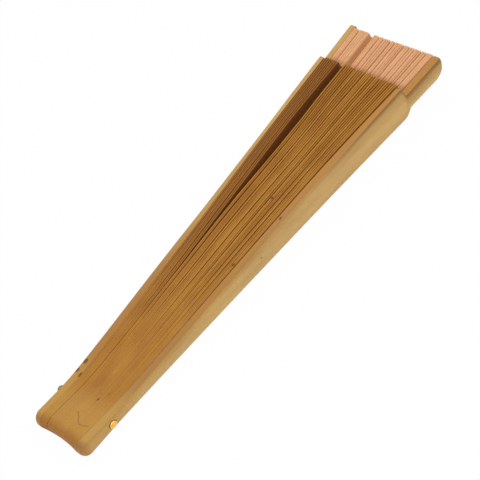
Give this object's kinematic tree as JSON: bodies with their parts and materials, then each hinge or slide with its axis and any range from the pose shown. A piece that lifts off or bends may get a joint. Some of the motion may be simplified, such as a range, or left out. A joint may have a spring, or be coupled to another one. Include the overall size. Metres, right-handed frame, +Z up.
{
  "type": "folding fan",
  "caption": "Folding hand fan with thin wooden sticks between two wooden guards on one rivet, and a short pleated cloth leaf beyond the shoulders.",
  "frame": {"origin": "middle of the closed fan's box, on the surface that its far edges rest on", "axes": "+X from the butt to the tip, +Y along the rivet towards the left guard, +Z up towards the near edges"},
  "size_m": [0.2318, 0.052, 0.017],
  "materials": {
    "guard_wood": "varnished pale wood, satin",
    "stick_wood": "varnished warm brown wood, satin",
    "leaf_cloth": "salmon pink pleated cloth",
    "rivet_brass": "polished brass",
    "cap_metal": "dull tarnished brass"
  },
  "bodies": {
    "left_guard": {"left_guard": "guard_wood", "rivet": "rivet_brass", "rivet_cap": "cap_metal", "leaf": "leaf_cloth"},
    "right_guard": {"right_guard": "guard_wood"},
    "stick_01": {"stick_01": "stick_wood"},
    "stick_02": {"stick_02": "stick_wood"},
    "stick_03": {"stick_03": "stick_wood"},
    "stick_04": {"stick_04": "stick_wood"},
    "stick_05": {"stick_05": "stick_wood"},
    "stick_06": {"stick_06": "stick_wood"},
    "stick_07": {"stick_07": "stick_wood"},
    "stick_08": {"stick_08": "stick_wood"},
    "stick_09": {"stick_09": "stick_wood"},
    "stick_10": {"stick_10": "stick_wood"},
    "stick_11": {"stick_11": "stick_wood"},
    "stick_12": {"stick_12": "stick_wood"},
    "stick_13": {"stick_13": "stick_wood"},
    "stick_14": {"stick_14": "stick_wood"},
    "stick_15": {"stick_15": "stick_wood"},
    "stick_16": {"stick_16": "stick_wood"},
    "stick_17": {"stick_17": "stick_wood"},
    "stick_18": {"stick_18": "stick_wood"},
    "stick_19": {"stick_19": "stick_wood"},
    "stick_20": {"stick_20": "stick_wood"},
    "stick_21": {"stick_21": "stick_wood"},
    "stick_22": {"stick_22": "stick_wood"},
    "stick_23": {"stick_23": "stick_wood"},
    "stick_24": {"stick_24": "stick_wood"},
    "stick_25": {"stick_25": "stick_wood"},
    "stick_26": {"stick_26": "stick_wood"},
    "stick_27": {"stick_27": "stick_wood"},
    "stick_28": {"stick_28": "stick_wood"},
    "stick_29": {"stick_29": "stick_wood"},
    "stick_30": {"stick_30": "stick_wood"},
    "stick_31": {"stick_31": "stick_wood"},
    "stick_32": {"stick_32": "stick_wood"}
  },
  "joints": [
    {"name": "right_guard_open", "type": "hinge", "parent": "left_guard", "child": "right_guard", "pos_m": [-0.0983, 0.00026, 0.00335], "axis": [0, -1, 0], "range_deg": [0, 165], "deforming": ["leaf"]},
    {"name": "stick_01_open", "type": "hinge", "parent": "left_guard", "child": "stick_01", "pos_m": [-0.0983, 0.00026, 0.00335], "axis": [0, -1, 0], "range_deg": [0, 5.01]},
    {"name": "stick_02_open", "type": "hinge", "parent": "left_guard", "child": "stick_02", "pos_m": [-0.0983, 0.00026, 0.00335], "axis": [0, -1, 0], "range_deg": [0, 10.01]},
    {"name": "stick_03_open", "type": "hinge", "parent": "left_guard", "child": "stick_03", "pos_m": [-0.0983, 0.00026, 0.00335], "axis": [0, -1, 0], "range_deg": [0, 15.01]},
    {"name": "stick_04_open", "type": "hinge", "parent": "left_guard", "child": "stick_04", "pos_m": [-0.0983, 0.00026, 0.00335], "axis": [0, -1, 0], "range_deg": [0, 20.01]},
    {"name": "stick_05_open", "type": "hinge", "parent": "left_guard", "child": "stick_05", "pos_m": [-0.0983, 0.00026, 0.00335], "axis": [0, -1, 0], "range_deg": [0, 25.01]},
    {"name": "stick_06_open", "type": "hinge", "parent": "left_guard", "child": "stick_06", "pos_m": [-0.0983, 0.00026, 0.00335], "axis": [0, -1, 0], "range_deg": [0, 30.01]},
    {"name": "stick_07_open", "type": "hinge", "parent": "left_guard", "child": "stick_07", "pos_m": [-0.0983, 0.00026, 0.00335], "axis": [0, -1, 0], "range_deg": [0, 35.01]},
    {"name": "stick_08_open", "type": "hinge", "parent": "left_guard", "child": "stick_08", "pos_m": [-0.0983, 0.00026, 0.00335], "axis": [0, -1, 0], "range_deg": [0, 40.01]},
    {"name": "stick_09_open", "type": "hinge", "parent": "left_guard", "child": "stick_09", "pos_m": [-0.0983, 0.00026, 0.00335], "axis": [0, -1, 0], "range_deg": [0, 45.01]},
    {"name": "stick_10_open", "type": "hinge", "parent": "left_guard", "child": "stick_10", "pos_m": [-0.0983, 0.00026, 0.00335], "axis": [0, -1, 0], "range_deg": [0, 50.01]},
    {"name": "stick_11_open", "type": "hinge", "parent": "left_guard", "child": "stick_11", "pos_m": [-0.0983, 0.00026, 0.00335], "axis": [0, -1, 0], "range_deg": [0, 55.01]},
    {"name": "stick_12_open", "type": "hinge", "parent": "left_guard", "child": "stick_12", "pos_m": [-0.0983, 0.00026, 0.00335], "axis": [0, -1, 0], "range_deg": [0, 60.01]},
    {"name": "stick_13_open", "type": "hinge", "parent": "left_guard", "child": "stick_13", "pos_m": [-0.0983, 0.00026, 0.00335], "axis": [0, -1, 0], "range_deg": [0, 65.01]},
    {"name": "stick_14_open", "type": "hinge", "parent": "left_guard", "child": "stick_14", "pos_m": [-0.0983, 0.00026, 0.00335], "axis": [0, -1, 0], "range_deg": [0, 70.01]},
    {"name": "stick_15_open", "type": "hinge", "parent": "left_guard", "child": "stick_15", "pos_m": [-0.0983, 0.00026, 0.00335], "axis": [0, -1, 0], "range_deg": [0, 75.01]},
    {"name": "stick_16_open", "type": "hinge", "parent": "left_guard", "child": "stick_16", "pos_m": [-0.0983, 0.00026, 0.00335], "axis": [0, -1, 0], "range_deg": [0, 80.01]},
    {"name": "stick_17_open", "type": "hinge", "parent": "left_guard", "child": "stick_17", "pos_m": [-0.0983, 0.00026, 0.00335], "axis": [0, -1, 0], "range_deg": [0, 85.01]},
    {"name": "stick_18_open", "type": "hinge", "parent": "left_guard", "child": "stick_18", "pos_m": [-0.0983, 0.00026, 0.00335], "axis": [0, -1, 0], "range_deg": [0, 90.01]},
    {"name": "stick_19_open", "type": "hinge", "parent": "left_guard", "child": "stick_19", "pos_m": [-0.0983, 0.00026, 0.00335], "axis": [0, -1, 0], "range_deg": [0, 95.01]},
    {"name": "stick_20_open", "type": "hinge", "parent": "left_guard", "child": "stick_20", "pos_m": [-0.0983, 0.00026, 0.00335], "axis": [0, -1, 0], "range_deg": [0, 100.01]},
    {"name": "stick_21_open", "type": "hinge", "parent": "left_guard", "child": "stick_21", "pos_m": [-0.0983, 0.00026, 0.00335], "axis": [0, -1, 0], "range_deg": [0, 105.01]},
    {"name": "stick_22_open", "type": "hinge", "parent": "left_guard", "child": "stick_22", "pos_m": [-0.0983, 0.00026, 0.00335], "axis": [0, -1, 0], "range_deg": [0, 110.01]},
    {"name": "stick_23_open", "type": "hinge", "parent": "left_guard", "child": "stick_23", "pos_m": [-0.0983, 0.00026, 0.00335], "axis": [0, -1, 0], "range_deg": [0, 115.01]},
    {"name": "stick_24_open", "type": "hinge", "parent": "left_guard", "child": "stick_24", "pos_m": [-0.0983, 0.00026, 0.00335], "axis": [0, -1, 0], "range_deg": [0, 120.01]},
    {"name": "stick_25_open", "type": "hinge", "parent": "left_guard", "child": "stick_25", "pos_m": [-0.0983, 0.00026, 0.00335], "axis": [0, -1, 0], "range_deg": [0, 125.01]},
    {"name": "stick_26_open", "type": "hinge", "parent": "left_guard", "child": "stick_26", "pos_m": [-0.0983, 0.00026, 0.00335], "axis": [0, -1, 0], "range_deg": [0, 130.01]},
    {"name": "stick_27_open", "type": "hinge", "parent": "left_guard", "child": "stick_27", "pos_m": [-0.0983, 0.00026, 0.00335], "axis": [0, -1, 0], "range_deg": [0, 135.01]},
    {"name": "stick_28_open", "type": "hinge", "parent": "left_guard", "child": "stick_28", "pos_m": [-0.0983, 0.00026, 0.00335], "axis": [0, -1, 0], "range_deg": [0, 140.01]},
    {"name": "stick_29_open", "type": "hinge", "parent": "left_guard", "child": "stick_29", "pos_m": [-0.0983, 0.00026, 0.00335], "axis": [0, -1, 0], "range_deg": [0, 145.01]},
    {"name": "stick_30_open", "type": "hinge", "parent": "left_guard", "child": "stick_30", "pos_m": [-0.0983, 0.00026, 0.00335], "axis": [0, -1, 0], "range_deg": [0, 150.01]},
    {"name": "stick_31_open", "type": "hinge", "parent": "left_guard", "child": "stick_31", "pos_m": [-0.0983, 0.00026, 0.00335], "axis": [0, -1, 0], "range_deg": [0, 155.01]},
    {"name": "stick_32_open", "type": "hinge", "parent": "left_guard", "child": "stick_32", "pos_m": [-0.0983, 0.00026, 0.00335], "axis": [0, -1, 0], "range_deg": [0, 160.01]}
  ],
  "couplings": [
    {"joint": "stick_01_open", "follows": "right_guard_open", "ratio": 0.030303},
    {"joint": "stick_02_open", "follows": "right_guard_open", "ratio": 0.060606},
    {"joint": "stick_03_open", "follows": "right_guard_open", "ratio": 0.090909},
    {"joint": "stick_04_open", "follows": "right_guard_open", "ratio": 0.12121},
    {"joint": "stick_05_open", "follows": "right_guard_open", "ratio": 0.15152},
    {"joint": "stick_06_open", "follows": "right_guard_open", "ratio": 0.18182},
    {"joint": "stick_07_open", "follows": "right_guard_open", "ratio": 0.21212},
    {"joint": "stick_08_open", "follows": "right_guard_open", "ratio": 0.24242},
    {"joint": "stick_09_open", "follows": "right_guard_open", "ratio": 0.27273},
    {"joint": "stick_10_open", "follows": "right_guard_open", "ratio": 0.30303},
    {"joint": "stick_11_open", "follows": "right_guard_open", "ratio": 0.33333},
    {"joint": "stick_12_open", "follows": "right_guard_open", "ratio": 0.36364},
    {"joint": "stick_13_open", "follows": "right_guard_open", "ratio": 0.39394},
    {"joint": "stick_14_open", "follows": "right_guard_open", "ratio": 0.42424},
    {"joint": "stick_15_open", "follows": "right_guard_open", "ratio": 0.45455},
    {"joint": "stick_16_open", "follows": "right_guard_open", "ratio": 0.48485},
    {"joint": "stick_17_open", "follows": "right_guard_open", "ratio": 0.51515},
    {"joint": "stick_18_open", "follows": "right_guard_open", "ratio": 0.54545},
    {"joint": "stick_19_open", "follows": "right_guard_open", "ratio": 0.57576},
    {"joint": "stick_20_open", "follows": "right_guard_open", "ratio": 0.60606},
    {"joint": "stick_21_open", "follows": "right_guard_open", "ratio": 0.63636},
    {"joint": "stick_22_open", "follows": "right_guard_open", "ratio": 0.66667},
    {"joint": "stick_23_open", "follows": "right_guard_open", "ratio": 0.69697},
    {"joint": "stick_24_open", "follows": "right_guard_open", "ratio": 0.72727},
    {"joint": "stick_25_open", "follows": "right_guard_open", "ratio": 0.75758},
    {"joint": "stick_26_open", "follows": "right_guard_open", "ratio": 0.78788},
    {"joint": "stick_27_open", "follows": "right_guard_open", "ratio": 0.81818},
    {"joint": "stick_28_open", "follows": "right_guard_open", "ratio": 0.84848},
    {"joint": "stick_29_open", "follows": "right_guard_open", "ratio": 0.87879},
    {"joint": "stick_30_open", "follows": "right_guard_open", "ratio": 0.90909},
    {"joint": "stick_31_open", "follows": "right_guard_open", "ratio": 0.93939},
    {"joint": "stick_32_open", "follows": "right_guard_open", "ratio": 0.9697}
  ]
}
